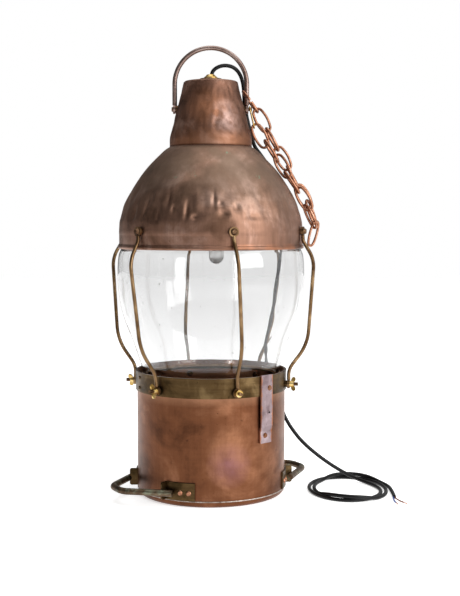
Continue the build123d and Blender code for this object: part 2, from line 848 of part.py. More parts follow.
def cord(name, route, diameter):
    """A plain round cord along straight runs with an even bend at each corner."""
    radii = bend_radii(route)
    with BuildPart() as piece:
        with BuildLine() as path:
            FilletPolyline(*route, radius=radii)
        with BuildSketch(Plane(origin=path.line @ 0, z_dir=path.line % 0)):
            Circle(diameter / 2)
        sweep()
    save(piece, name)
    length = sum(edge.length for edge in path.edges())
    section = pi * diameter**2 / 4
    solidity = piece.part.volume / (section * length)
    print(name, f"length {length:.0f}, volume check {solidity:.4f}, bend {min(radii) / diameter:.1f} d")


cord("power_cable", cable_route, cable_d)
cord("cable_tail", tail_route, cable_d)
for name, route in core_routes.items():
    cord(name, route, core_d)

with BuildPart() as cable_coil:
    with BuildSketch():
        with Locations(coil_middle):
            Ellipse(*coil_outer)
            Ellipse(*coil_inner, mode=Mode.SUBTRACT)
    extrude(amount=coil_height)
save(cable_coil, "cable_coil")

tip_d = 1.3
tip_length = 8.0
with BuildPart() as core_tips:
    for route in core_routes.values():
        end = Vector(*route[-1])
        outward = (end - Vector(*route[-2])).normalized()
        with BuildSketch(Plane(origin=end, z_dir=outward)):
            Circle(tip_d / 2)
        extrude(amount=tip_length)
save(core_tips, "core_tips")
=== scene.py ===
"""Looks of a copper ship's lantern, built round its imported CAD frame.

Lengths are in metres, but the cable's route and coil, places on walls, profiles and dents are in millimetres.
"""

import json
import math

import bpy
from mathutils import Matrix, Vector, noise


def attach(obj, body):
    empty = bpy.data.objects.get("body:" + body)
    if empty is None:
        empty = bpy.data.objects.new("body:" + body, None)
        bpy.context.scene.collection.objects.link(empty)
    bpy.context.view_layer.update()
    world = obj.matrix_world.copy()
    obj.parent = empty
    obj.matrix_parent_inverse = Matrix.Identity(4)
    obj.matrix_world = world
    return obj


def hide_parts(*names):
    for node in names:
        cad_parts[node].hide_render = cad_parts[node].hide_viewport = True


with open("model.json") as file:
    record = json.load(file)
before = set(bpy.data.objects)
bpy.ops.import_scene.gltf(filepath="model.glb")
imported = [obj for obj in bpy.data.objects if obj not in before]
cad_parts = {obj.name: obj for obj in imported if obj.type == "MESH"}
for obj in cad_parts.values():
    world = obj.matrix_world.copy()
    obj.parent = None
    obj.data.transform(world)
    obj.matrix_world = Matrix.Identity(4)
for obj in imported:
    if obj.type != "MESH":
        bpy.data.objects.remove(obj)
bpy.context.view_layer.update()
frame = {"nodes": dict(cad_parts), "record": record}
MM = 0.001

# ---------------------------------------------------------------- camera
CAMERA_PLACE = (0.027, -1.560, 0.386)
CAMERA_LENS_MM = 66.44
CAMERA_DOWN_DEG = 4.0

camera_data = bpy.data.cameras.new("camera")
camera_data.sensor_width = 36.0
camera_data.lens = CAMERA_LENS_MM
camera = bpy.data.objects.new("camera", camera_data)
camera.location = CAMERA_PLACE
camera.rotation_euler = (math.radians(90.0 - CAMERA_DOWN_DEG), 0, 0)
bpy.context.scene.collection.objects.link(camera)
bpy.context.scene.camera = camera
bpy.context.scene.view_settings.view_transform = "Standard"

# ---------------------------------------------------------------- the cable
CABLE_D = 5.4
CABLE_ROUTE_MM = [
    (0.2, 0, 577),
    (0.3, 0, 592),
    (6.5, 0.5, 600),
    (18.5, 2, 604.5),
    (33, 5, 602),
    (42.5, 9, 591),
    (46.5, 14, 575),
    (47, 19, 555),
    (51, 22, 533),
    (56.5, 24.5, 512),
    (61.5, 27.5, 493),
    (70, 34, 483),
    (87, 46, 460),
    (97.3, 58.5, 440),
    (105.7, 71.3, 415),
    (107.4, 80.9, 388),
    (108, 86, 362),
    (107, 90, 338),
    (101.9, 92.8, 311),
    (97.5, 93.5, 285),
    (96.5, 92, 262),
    (91.5, 89.5, 236),
    (83, 85.5, 206),
    (84, 81.5, 184),
    (90.4, 75.8, 157),
    (97, 72, 136),
    (101, 68, 115),
    (108.9, 62, 94),
    (120, 60, 76),
    (135.6, 57, 57),
    (161.9, 55, 35),
    (190.9, 53, 16),
    (216.6, 49, 4),
    (238, 15, 2.75),
    (243, -12, 2.75),
]
CABLE_END_MM = [(257, -36, 2.75), (256, -51, 2.75)]
COIL_MIDDLE_MM = (194.0, -2.0)
COIL_HALF_WIDTH = 54.0
COIL_HALF_DEPTH = 70.0
COIL_START_DEG = -11.0
COIL_POINTS_PER_TURN = 18
COIL_SPREAD = 7.6           # how far apart the two turns lie where they part
CABLE_REST_Z = 2.75
TURN_SPACING = 5.7          # between the middles of two touching turns
HALF_GROWTH = 3.0           # a turn starts this much inside the middle line and ends this much outside it


def coil_points():
    """Two loose turns; the second is outside the first at the right and inside it at the left."""
    points = []
    for step in range(1, 2 * COIL_POINTS_PER_TURN + 1):
        turns = step / COIL_POINTS_PER_TURN
        around = turns % 1.0
        spread = -HALF_GROWTH + 2 * HALF_GROWTH * min(turns, 1.0)
        lift = 0.0
        if turns > 1.0:
            apart = COIL_SPREAD * math.cos(2 * math.pi * around)
            spread = -HALF_GROWTH + 2 * HALF_GROWTH * around + apart
            lift = math.sqrt(max(0.0, TURN_SPACING**2 - apart**2))
        if turns == 2.0:
            spread = HALF_GROWTH + COIL_SPREAD
            lift = 0.0
        angle = math.radians(COIL_START_DEG - 360.0 * turns)
        x = COIL_MIDDLE_MM[0] + (COIL_HALF_WIDTH + spread) * math.cos(angle)
        y = COIL_MIDDLE_MM[1] + (COIL_HALF_DEPTH + spread) * math.sin(angle)
        points.append((x, y, CABLE_REST_Z + lift))
    return points


def smooth_curve(name, points_mm, radius):
    """A round bar or cord along one NURBS spline whose control points are given in millimetres."""
    curve = bpy.data.curves.new(name, "CURVE")
    curve.dimensions = "3D"
    curve.bevel_depth = 1.0
    curve.bevel_resolution = 6
    curve.resolution_u = 8
    curve.use_fill_caps = True
    spline = curve.splines.new("NURBS")
    spline.points.add(len(points_mm) - 1)
    for point, place in zip(spline.points, points_mm):
        point.co = (place[0] * MM, place[1] * MM, place[2] * MM, 1.0)
        point.radius = radius
    spline.order_u = 3
    spline.use_endpoint_u = True
    piece = bpy.data.objects.new(name, curve)
    bpy.context.scene.collection.objects.link(piece)
    return piece


cable = smooth_curve("supply_cable", CABLE_ROUTE_MM + coil_points() + CABLE_END_MM, CABLE_D / 2 * MM)
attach(cable, "lantern")
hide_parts("power_cable", "cable_coil", "cable_tail")

# ---------------------------------------------------------------- node helpers


def tone(red, green, blue):
    """A colour given as 0-255 display values."""
    channels = []
    for value in (red, green, blue):
        level = value / 255.0
        channels.append(level / 12.92 if level <= 0.04045 else ((level + 0.055) / 1.055) ** 2.4)
    return (*channels, 1.0)


def tones(*values):
    """Several colours given as 0-255 display values."""
    return [tone(*value) for value in values]


class Shader:
    """Builds one material's node tree around a Principled shader."""

    def __init__(self, name):
        self.material = bpy.data.materials.new(name)
        self.material.use_nodes = True
        self.tree = self.material.node_tree
        self.tree.nodes.clear()
        self.surface = self.tree.nodes.new("ShaderNodeBsdfPrincipled")
        self.output = self.tree.nodes.new("ShaderNodeOutputMaterial")
        self.tree.links.new(self.surface.outputs["BSDF"], self.output.inputs["Surface"])
        self.place = self.tree.nodes.new("ShaderNodeTexCoord").outputs["Object"]

    def stretched(self, scale):
        """Object coordinates scaled along each axis."""
        mapping = self.tree.nodes.new("ShaderNodeMapping")
        mapping.inputs["Scale"].default_value = scale
        self.tree.links.new(self.place, mapping.inputs["Vector"])
        return mapping.outputs["Vector"]

    def noise(self, scale, detail=4.0, rough=0.55, vector=None, warp=0.0):
        """Noise whose features are about 1/scale metres across."""
        node = self.tree.nodes.new("ShaderNodeTexNoise")
        node.inputs["Scale"].default_value = scale
        node.inputs["Detail"].default_value = detail
        node.inputs["Roughness"].default_value = rough
        node.inputs["Distortion"].default_value = warp
        self.tree.links.new(vector or self.place, node.inputs["Vector"])
        return node.outputs["Fac"]

    def ramp(self, value, stops):
        """Colours along a value; stops are (position, colour)."""
        node = self.tree.nodes.new("ShaderNodeValToRGB")
        ramp = node.color_ramp
        ramp.interpolation = "EASE"
        while len(ramp.elements) < len(stops):
            ramp.elements.new(0.5)
        for element, (position, colour) in zip(ramp.elements, stops):
            element.position = position
            element.color = colour
        self.tree.links.new(value, node.inputs["Fac"])
        return node.outputs["Color"]

    def between(self, value, low, high, start=0.0, end=1.0):
        """Maps value from low..high to start..end, clamped."""
        node = self.tree.nodes.new("ShaderNodeMapRange")
        node.inputs["From Min"].default_value = low
        node.inputs["From Max"].default_value = high
        node.inputs["To Min"].default_value = start
        node.inputs["To Max"].default_value = end
        self.tree.links.new(value, node.inputs["Value"])
        return node.outputs["Result"]

    def mix(self, factor, first, second, blend="MIX"):
        """Mixes two colours, each a socket or a plain colour."""
        node = self.tree.nodes.new("ShaderNodeMix")
        node.data_type = "RGBA"
        node.blend_type = blend
        factor_in, first_in, second_in = node.inputs[0], node.inputs[6], node.inputs[7]
        for socket, value in ((factor_in, factor), (first_in, first), (second_in, second)):
            if isinstance(value, bpy.types.NodeSocket):
                self.tree.links.new(value, socket)
            else:
                socket.default_value = value
        return node.outputs[2]

    def maths(self, operation, first, second):
        """One arithmetic step on sockets or numbers."""
        node = self.tree.nodes.new("ShaderNodeMath")
        node.operation = operation
        for socket, value in zip(node.inputs, (first, second)):
            if isinstance(value, bpy.types.NodeSocket):
                self.tree.links.new(value, socket)
            else:
                socket.default_value = value
        return node.outputs["Value"]

    def times(self, first, second):
        """The product of two sockets or numbers."""
        return self.maths("MULTIPLY", first, second)

    def patchy(self, scale, low, high, start=0.0, end=1.0, **settings):
        """Noise mapped from low..high to start..end, clamped."""
        return self.between(self.noise(scale, **settings), low, high, start, end)

    def axis(self, name):
        """One object coordinate, X, Y or Z."""
        node = self.tree.nodes.new("ShaderNodeSeparateXYZ")
        self.tree.links.new(self.place, node.inputs["Vector"])
        return node.outputs[name]

    def spot(self, centre, radius, soft=0.5):
        """1 near a point of the object, fading to 0 at radius."""
        node = self.tree.nodes.new("ShaderNodeVectorMath")
        node.operation = "DISTANCE"
        node.inputs[1].default_value = centre
        self.tree.links.new(self.place, node.inputs[0])
        return self.between(node.outputs["Value"], radius * soft, radius, 1.0, 0.0)

    def bump(self, height, distance):
        """Bumps the surface; distance is in metres."""
        node = self.tree.nodes.new("ShaderNodeBump")
        node.inputs["Strength"].default_value = 1.0
        node.inputs["Distance"].default_value = distance
        self.tree.links.new(height, node.inputs["Height"])
        self.tree.links.new(node.outputs["Normal"], self.surface.inputs["Normal"])

    def set(self, name, value):
        """Sets or links one input of the Principled shader."""
        socket = self.surface.inputs[name]
        if isinstance(value, bpy.types.NodeSocket):
            self.tree.links.new(value, socket)
        else:
            socket.default_value = value


def on_wall(bearing_deg, radius_mm, z_mm):
    """A point on the lantern's wall; bearing 0 is the front and it grows to the right."""
    angle = math.radians(bearing_deg)
    return (radius_mm * math.sin(angle) * MM, -radius_mm * math.cos(angle) * MM, z_mm * MM)


WHITE = (1.0, 1.0, 1.0, 1.0)
BLACK = (0.0, 0.0, 0.0, 1.0)


def old_metal(
    name,
    colours,
    rough=(0.3, 0.5),
    cloud=14.0,
    grain=(1, 1, 1),
    brush=0.45,
    pits=0.7,
    depth=0.00012,
):
    """Aged metal: cloudy tones, a drawn or brushed grain, small dark specks, uneven gloss and a fine bump."""
    shader = Shader(name)
    clouds = shader.noise(cloud, detail=6.0, rough=0.6, warp=0.4)
    colour = shader.ramp(clouds, list(zip((0.33, 0.5, 0.68), colours)))
    brushed = shader.noise(90.0, detail=5.0, rough=0.7, vector=shader.stretched(grain))
    lines = shader.ramp(brushed, [(0.3, tone(120, 112, 108)), (0.7, WHITE)])
    colour = shader.mix(brush, colour, lines, "MULTIPLY")
    specks = shader.ramp(shader.noise(260.0, detail=3.0), [(pits, BLACK), (pits + 0.05, WHITE)])
    colour = shader.mix(specks, colour, tone(40, 26, 18))
    shader.set("Base Color", colour)
    shader.set("Metallic", 1.0)
    shader.set("Roughness", shader.patchy(cloud * 2.5, 0.3, 0.7, *rough, detail=5.0))
    shader.bump(shader.maths("ADD", brushed, shader.noise(420.0, detail=3.0)), depth)
    return shader, colour


VERTICAL_GRAIN = (1.0, 1.0, 0.06)
ROUND_GRAIN = (0.12, 0.12, 2.0)

# Heights between which a colour or dullness fades in, from none to full.
DOME_GREY_Z = (0.385, 0.455)
DOME_NECK_Z = (0.497, 0.489)
DOME_RED_Z = (0.44, 0.35)
DOME_RIM_Z = (0.357, 0.351)
DOME_DULL_Z = (0.36, 0.44)
COLLAR_GLOW_Z = (0.512, 0.498)
COLLAR_FOOT_Z = (0.4925, 0.4905)
WORN_STRIP_Z = (0.136, 0.149)
DRUM_LIP_Z = (0.1765, 0.1770)

# Places on the walls: bearing in degrees, radius and height in mm.
GREEN_FLECKS = [(19, 75, 478), (-12, 100, 450), (-26, 104, 448), (40, 104, 447)]
CONE_GLOW = (-8, 48, 541)
# The next place is a pale pink patch: worn copper with a painted highlight on it.
CONE_WEAR_AND_HIGHLIGHT = (26, 52, 527)
PURPLE_STAIN = (15, 105, 58)
DRUM_R = 105
# Dark spots on the drum: bearing, height and radius in mm.
DRUM_SPOTS = [(-41, 103, 3.2), (-17, 92, 2.6), (-7, 113, 3.4), (-30, 60, 3.0), (24, 118, 2.4), (60, 70, 3.2)]


def dome_material():
    """Grey-brown and dull above, redder and glossier below, with traces of verdigris."""
    shader, colour = old_metal(
        "dome_copper",
        tones((112, 86, 70), (150, 118, 100), (186, 156, 140)),
        cloud=16.0,
        grain=VERTICAL_GRAIN,
        brush=0.3,
        pits=0.71,
    )
    height = shader.axis("Z")
    grey = shader.mix(shader.noise(34.0, detail=7.0, warp=1.2), *tones((96, 77, 63), (136, 114, 97)))
    upper = shader.times(shader.between(height, *DOME_GREY_Z), shader.between(height, *DOME_NECK_Z))
    upper = shader.times(upper, shader.patchy(22.0, 0.34, 0.56, 0.15, 0.8, detail=5.0))
    colour = shader.mix(upper, colour, grey)
    lower = shader.times(shader.between(height, *DOME_RED_Z), 0.3)
    colour = shader.mix(lower, colour, tone(206, 146, 118), "MULTIPLY")
    glow = shader.times(shader.between(height, *DOME_RIM_Z), shader.patchy(18.0, 0.56, 0.7, 0.0, 0.7))
    colour = shader.mix(glow, colour, tone(176, 116, 82))
    for place in GREEN_FLECKS:
        flecks = shader.times(shader.spot(on_wall(*place), 0.006), shader.patchy(310.0, 0.52, 0.6))
        colour = shader.mix(flecks, colour, tone(120, 134, 112))
    shader.set("Base Color", colour)
    dull = shader.between(height, *DOME_DULL_Z, 0.38, 0.5)
    shader.set("Roughness", shader.maths("ADD", dull, shader.patchy(40.0, 0.3, 0.7, 0.0, 0.1, detail=5.0)))
    return shader.material


def cone_material():
    """Brown copper with an orange glow and a pale pink patch on the right front: worn copper with a painted
    highlight on it.
    """
    shader, colour = old_metal(
        "cone_copper",
        tones((84, 58, 46), (124, 90, 74), (162, 128, 112)),
        rough=(0.5, 0.62),
        cloud=26.0,
        grain=VERTICAL_GRAIN,
        brush=0.25,
        pits=0.69,
    )
    height = shader.axis("Z")
    glow = shader.times(shader.spot(on_wall(*CONE_GLOW), 0.034, soft=0.1), 0.5)
    colour = shader.mix(glow, colour, tone(190, 130, 94))
    # A pale pink patch on the right front, partly worn copper and partly a painted highlight where the key
    # light falls.
    wear_and_highlight = shader.times(
        shader.spot(on_wall(*CONE_WEAR_AND_HIGHLIGHT), 0.03, soft=0.1),
        shader.patchy(70.0, 0.4, 0.6, 0.05, 0.6, detail=5.0),
    )
    colour = shader.mix(wear_and_highlight, colour, tone(198, 168, 158))
    edge = shader.maths("ADD", height, shader.patchy(24.0, 0.3, 0.7, -0.009, 0.009, detail=5.0))
    colour = shader.mix(shader.between(edge, *COLLAR_GLOW_Z, 0.0, 0.35), colour, tone(166, 112, 78))
    colour = shader.mix(shader.between(height, *COLLAR_FOOT_Z, 0.0, 0.7), colour, tone(74, 46, 34))
    shader.set("Base Color", colour)
    return shader.material


def base_material():
    """Brushed orange copper with a purple stain, dark spots and a lighter worn strip under the band."""
    shader, colour = old_metal(
        "base_copper",
        tones((80, 49, 33), (114, 72, 49), (154, 106, 78)),
        rough=(0.34, 0.46),
        cloud=11.0,
        grain=ROUND_GRAIN,
        brush=0.12,
        pits=0.72,
    )
    height = shader.axis("Z")
    streaks = shader.noise(130.0, detail=6.0, rough=0.7, vector=shader.stretched(VERTICAL_GRAIN))
    streaks = shader.ramp(streaks, [(0.35, tone(130, 116, 108)), (0.65, WHITE)])
    colour = shader.mix(0.16, colour, streaks, "MULTIPLY")
    stain = shader.times(shader.spot(on_wall(*PURPLE_STAIN), 0.034, soft=0.0), shader.noise(60.0, detail=5.0))
    colour = shader.mix(stain, colour, tone(142, 98, 104))
    for bearing, z, radius in DRUM_SPOTS:
        near = shader.spot(on_wall(bearing, DRUM_R, z), radius * MM, soft=0.0)
        colour = shader.mix(shader.times(near, shader.patchy(420.0, 0.35, 0.6)), colour, tone(70, 42, 30))
    worn = shader.times(shader.between(height, *WORN_STRIP_Z), 0.28)
    colour = shader.mix(worn, colour, tone(196, 148, 116))
    colour = shader.mix(shader.between(height, *DRUM_LIP_Z), colour, tone(150, 110, 100))
    shader.set("Base Color", colour)
    return shader.material


def glass_material():
    """Old blown glass: clear, slightly uneven, with a few specks in it."""
    shader = Shader("clear_glass")
    specks = shader.patchy(150.0, 0.74, 0.77, detail=2.0)
    shader.set("Base Color", shader.mix(specks, *tones((239, 239, 239), (150, 148, 144))))
    shader.set("Transmission Weight", 1.0)
    shader.set("IOR", 1.45)
    shader.set("Roughness", shader.between(specks, 0.0, 1.0, 0.0, 0.3))
    shader.bump(shader.noise(26.0, detail=2.0, vector=shader.stretched((1, 1, 0.35))), 0.0004)
    return shader.material


def frosted_material():
    """A bulb frosted on the inside, a little uneven."""
    shader = Shader("bulb_glass")
    shader.set("Base Color", shader.mix(shader.noise(120.0), *tones((236, 236, 234), (250, 250, 249))))
    shader.set("Transmission Weight", 0.8)
    shader.set("IOR", 1.3)
    shader.set("Roughness", shader.patchy(90.0, 0.3, 0.7, 0.28, 0.42))
    return shader.material


def plain_material(name, dark, light, rough, gloss=0.5, scale=60.0, depth=0.0001):
    """A moulded, rubber or cork surface with uneven colour and gloss."""
    shader = Shader(name)
    patches = shader.patchy(scale, 0.35, 0.65, detail=5.0)
    shader.set("Base Color", shader.mix(patches, *tones(dark, light)))
    shader.set("Specular IOR Level", gloss)
    shader.set("Roughness", shader.patchy(scale * 2, 0.3, 0.7, rough - 0.06, rough + 0.08, detail=4.0))
    shader.bump(shader.noise(scale * 8, detail=3.0), depth)
    return shader.material


def handle_material():
    """Grey-brown bronze with patches of pale green crust."""
    shader, colour = old_metal(
        "handle_bronze",
        tones((80, 64, 52), (112, 93, 74), (144, 122, 98)),
        rough=(0.4, 0.55),
        cloud=40.0,
        depth=0.0002,
    )
    crust = shader.patchy(60.0, 0.5, 0.68, 0.0, 0.75, detail=6.0, warp=0.8)
    colour = shader.mix(crust, colour, tone(150, 158, 136))
    shader.set("Base Color", colour)
    return shader.material


STRAP_BEARING = math.radians(45.0)
STRAP_RUST = (0.0092, 0.0108)   # distances from the strap's middle line between which the rust fades in


def strap_material():
    """Mauve-grey metal with orange rust along its edges."""
    shader, colour = old_metal(
        "strap_metal",
        tones((122, 104, 106), (152, 134, 137), (182, 164, 167)),
        rough=(0.36, 0.5),
        cloud=45.0,
        grain=VERTICAL_GRAIN,
        brush=0.15,
    )
    across = shader.tree.nodes.new("ShaderNodeVectorMath")
    across.operation = "DOT_PRODUCT"
    across.inputs[1].default_value = (math.cos(STRAP_BEARING), math.sin(STRAP_BEARING), 0)
    shader.tree.links.new(shader.place, across.inputs[0])
    reach = shader.maths("ABSOLUTE", across.outputs["Value"], 0.0)
    ragged = shader.maths("ADD", reach, shader.patchy(160.0, 0.3, 0.7, -0.0012, 0.0012))
    colour = shader.mix(shader.between(ragged, *STRAP_RUST, 0.0, 0.8), colour, tone(176, 112, 74))
    shader.set("Base Color", colour)
    return shader.material


FINE = {"cloud": 90.0, "depth": 0.00003}   # for small and thin pieces
# Each metal's dark, middle and light tones, and what else sets it apart.
METALS = {
    "collar_copper": [
        ((170, 106, 72), (210, 146, 108), (236, 188, 156)),
        {"rough": (0.24, 0.36), "grain": ROUND_GRAIN},
    ],
    "band_brass": [
        ((62, 48, 28), (92, 72, 46), (124, 102, 70)),
        {"rough": (0.34, 0.48), "cloud": 30.0, "grain": ROUND_GRAIN},
    ],
    "rod_brass": [
        ((84, 62, 42), (118, 92, 64), (154, 126, 92)),
        {"rough": (0.32, 0.44), "cloud": 45.0, "brush": 0.12, "depth": 0.00004},
    ],
    "bright_brass": [
        ((160, 126, 62), (200, 164, 92), (230, 204, 142)),
        {"rough": (0.28, 0.4), "brush": 0.15, **FINE},
    ],
    "chain_copper": [
        ((128, 84, 64), (168, 118, 92), (204, 158, 132)),
        {"rough": (0.3, 0.42), "brush": 0.1, **FINE},
    ],
    "bail_metal": [
        ((112, 92, 84), (140, 118, 110), (166, 146, 138)),
        {"rough": (0.34, 0.44), "cloud": 50.0, "brush": 0.1, "depth": 0.00003},
    ],
    "solder": [
        ((142, 128, 118), (190, 178, 168), (226, 218, 210)),
        {"rough": (0.34, 0.5), "cloud": 120.0, "depth": 0.0003},
    ],
    "bare_copper": [((196, 120, 80), (226, 150, 106), (240, 180, 140)), {"cloud": 300.0}],
    "lamp_steel": [((120, 120, 118), (160, 160, 158), (190, 190, 188)), {"cloud": 60.0}],
    "dark_rivet": [
        ((70, 48, 36), (102, 76, 56), (136, 108, 80)),
        {"rough": (0.36, 0.5), "cloud": 120.0},
    ],
}
# Each plain material's dark and light tones, its roughness, and what else sets it apart.
PLAINS = {
    "gasket_cork": [(112, 84, 58), (158, 126, 92), 0.8, {"scale": 160.0, "depth": 0.0004}],
    "holder_black": [(16, 16, 17), (32, 31, 32), 0.35, {}],
    "cable_black": [(6, 6, 7), (13, 13, 15), 0.36, {"gloss": 0.25, "scale": 90.0, "depth": 0.00004}],
    "core_blue": [(22, 60, 130), (40, 90, 170), 0.4, {"scale": 200.0}],
    "core_brown": [(110, 58, 34), (150, 84, 54), 0.4, {"scale": 200.0}],
}
materials = {
    "dome_copper": dome_material(),
    "cone_copper": cone_material(),
    "base_copper": base_material(),
    "handle_bronze": handle_material(),
    "strap_metal": strap_material(),
    "clear_glass": glass_material(),
    "bulb_glass": frosted_material(),
}
for name, (colours, settings) in METALS.items():
    materials[name] = old_metal(name, tones(*colours), **settings)[0].material
for name, (dark, light, rough, settings) in PLAINS.items():
    materials[name] = plain_material(name, dark, light, rough, **settings)

# CAD nodes that look different from the rest of their slot.
SPECIAL = {
    "chimney_cap": "cone_copper",
    "pivot_rivets": "dark_rivet",
    "pivot_bosses": "dark_rivet",
    "dome_studs": "dark_rivet",
    "dome_stud_collars": "dark_rivet",
    "band_studs": "dark_rivet",
    "round_nut_front": "bright_brass",
    "gland_flange": "rod_brass",
    "bracket_rivets": "chain_copper",
}
for row in frame["record"]["subparts"]:
    node = frame["nodes"].get(row.get("node") or row.get("name"))
    if node is None:
        continue
    for slot in node.material_slots:
        slot.material = materials[SPECIAL.get(node.name, row["material_slot"])]
cable.data.materials.append(materials["cable_black"])

# ---------------------------------------------------------------- turned sheet-metal and glass pieces


def through(points, steps):
    """More points on a smooth (Catmull-Rom) line through the given (radius, height) points."""
    out = []
    padded = [points[0], *points, points[-1]]
    for index in range(len(points) - 1):
        before, start, end, after = padded[index : index + 4]
        for step in range(steps):
            t = step / steps
            place = []
            for a, b, c, d in zip(before, start, end, after):
                bend = 2 * a - 5 * b + 4 * c - d + t * (3 * (b - c) + d - a)
                place.append(b + 0.5 * t * (c - a + t * bend))
            out.append(tuple(place))
    out.append(points[-1])
    return out


def inset(points, depth):
    """The same line moved inwards, at right angles to itself."""
    out = []
    for index, (radius, z) in enumerate(points):
        before = points[max(index - 1, 0)]
        after = points[min(index + 1, len(points) - 1)]
        along = Vector((after[0] - before[0], after[1] - before[1])).normalized()
        out.append((radius - depth * along.y, z + depth * along.x))
    return out


def turned(name, profile, push, columns=288):
    """A closed (radius, height) profile turned about Z; push(bearing, height) moves the wall outwards."""
    vertices = []
    for column in range(columns):
        bearing = 360.0 * column / columns
        angle = math.radians(bearing)
        signed = bearing if bearing <= 180.0 else bearing - 360.0
        for radius, z in profile:
            moved = radius + push(signed, z)
            vertices.append((moved * math.sin(angle) * MM, -moved * math.cos(angle) * MM, z * MM))
    count = len(profile)
    faces = []
    for column in range(columns):
        here = column * count
        there = (column + 1) % columns * count
        for row in range(count):
            upper = (row + 1) % count
            faces.append((here + row, there + row, there + upper, here + upper))
    mesh = bpy.data.meshes.new(name)
    mesh.from_pydata(vertices, [], faces)
    mesh.update()
    for face in mesh.polygons:
        face.use_smooth = True
    piece = bpy.data.objects.new(name, mesh)
    bpy.context.scene.collection.objects.link(piece)
    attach(piece, "lantern")
    return piece


def hollow(dents, bearing, z, radius):
    """The total depth of the dents at one place: (bearing, height, half-width, half-height, depth) each."""
    total = 0.0
    for dent_bearing, dent_z, half_width, half_height, depth in dents:
        across = math.radians(bearing - dent_bearing) * radius / half_width
        up = (z - dent_z) / half_height
        total += depth * math.exp(-across * across - up * up)
    return total


def wander(bearing, z, across, up, seed):
    """Smooth noise over the wall, about -1..1, with no seam at the back."""
    angle = math.radians(bearing)
    return noise.noise(Vector((math.sin(angle) * across, math.cos(angle) * across, z / up + seed)))


SHEET = 1.2                 # the thickness of the dome's and cone's metal
DOME_R = 129.5
dome_crown = through(
    [
        (DOME_R, 366.0),
        (DOME_R, 375.0),
        (127.0, 396.5),
        (116.0, 423.5),
        (94.8, 454.6),
        (69.0, 481.8),
        (57.8, 489.6),
    ],
    12,
)
dome_skirt = [(DOME_R, 354.0 + 1.5 * step) for step in range(8)]
dome_outer = dome_skirt + dome_crown
dome_bead = [
    (128.4, 351.5),
    (128.4, 348.7),
    (128.9, 347.8),
    (129.8, 347.5),
    (130.7, 347.8),
    (131.2, 348.7),
    (131.2, 351.3),
    (130.7, 352.3),
    (129.8, 352.9),
]
dome_profile = dome_bead + dome_outer + inset(dome_outer, SHEET)[::-1]
DENT_RADIUS = 118.0         # the dome's radius where most dents are
DOME_DENTS = [
    (-45, 404, 2.6, 13, 1.7),
    (-41, 415, 3.2, 7, 1.3),
    (-33, 396, 3.0, 11, 1.3),
    (-27, 415, 3.0, 8, 1.2),
    (-23, 403, 2.2, 4.5, 1.2),
    (-14, 398, 3.0, 10, 1.5),
    (-9, 391, 4.5, 4, 1.3),
    (3, 414, 2.8, 9, 1.3),
    (7, 408, 4.0, 3.0, 1.2),
    (9, 396, 6.0, 5, 1.2),
    (17, 404, 5.0, 6, 1.1),
    (27, 392, 7.0, 5, 0.9),
    (-55, 396, 4.0, 12, 1.2),
    (-46, 412, 9, 13, 1.3),
    (-37, 400, 7, 12, 1.1),
    (-28, 409, 6, 11, 1.2),
    (-20, 399, 8, 9, 1.0),
    (-12, 410, 7, 10, 1.0),
    (-2, 404, 8, 9, 0.8),
    (10, 418, 12, 10, 0.8),
    (24, 434, 14, 9, 0.7),
    (36, 402, 13, 14, 0.8),
    (58, 420, 14, 12, 0.9),
    (-62, 430, 15, 16, 1.0),
    (-15, 452, 16, 10, 0.6),
    (4, 474, 14, 7, 0.7),
    (100, 410, 18, 14, 1.1),
    (150, 430, 16, 12, 1.0),
    (-120, 405, 20, 14, 1.2),
    (-160, 440, 16, 12, 0.8),
]
STUD_ROW_TOP = 376.0
NECK_Z = 489.0
WRINKLES_Z = 409.0
WRINKLES_HALF_HEIGHT = 25.0


def fade(distance, over):
    """0 at no distance, rising to 1 over the given distance."""
    return min(1.0, max(0.0, distance / over))


def dome_push(bearing, z):
    """Dents, wrinkles round the shoulder and a slight unevenness; hardly any where the studs seat."""
    free = fade(z - STUD_ROW_TOP, 14.0) ** 2 * fade(NECK_Z - z, 8.0)
    moved = -hollow(DOME_DENTS, bearing, z, DENT_RADIUS)
    band = max(0.0, 1.0 - abs((z - WRINKLES_Z) / WRINKLES_HALF_HEIGHT) ** 3)
    wrinkles = 0.7 * wander(bearing, z, 8.0, 20.0, 3.0) + 0.15 * wander(bearing, z, 20.0, 12.0, 9.0)
    moved += band * (wrinkles - 0.4)
    moved += 0.5 * wander(bearing, z, 4.0, 32.0, 20.0) - 0.25
    return 2.0 * moved * free + 0.1 * wander(bearing, z, 6.0, 40.0, 31.0) - 0.1


dome = turned("dome", dome_profile, dome_push, columns=576)
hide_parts("dome_shell")
dome.data.materials.append(materials["dome_copper"])

cone_outer = through(
    [
        (57.8, 489.7),
        (57.8, 495.0),
        (57.8, 501.0),
        (56.9, 506.5),
        (54.6, 515.0),
        (51.0, 529.0),
        (45.0, 552.0),
        (39.4, 574.0),
        (38.3, 578.3),
    ],
    6,
)
cone_profile = cone_outer + inset(cone_outer, SHEET)[::-1]
CONE_DENT_RADIUS = 48.0
PIVOT_BEARING = 90.0
PIVOT_Z = 542.5
CONE_FOOT_Z = 494.0
CONE_TOP_Z = 577.0
CONE_DENTS = [
    (14, 534, 8, 5, 1.4),
    (30, 523, 6, 5, 1.3),
    (38, 541, 8, 7, 1.1),
    (8, 521, 5, 5, 1.0),
    (24, 546, 7, 4, 0.9),
    (-10, 548, 9, 8, 1.1),
    (-34, 526, 10, 12, 1.2),
    (-20, 530, 5, 9, 0.9),
    (4, 562, 8, 5, 0.9),
    (60, 530, 10, 14, 0.6),
    (120, 545, 14, 12, 0.8),
    (-110, 550, 14, 10, 0.8),
    (180, 528, 12, 12, 0.9),
]


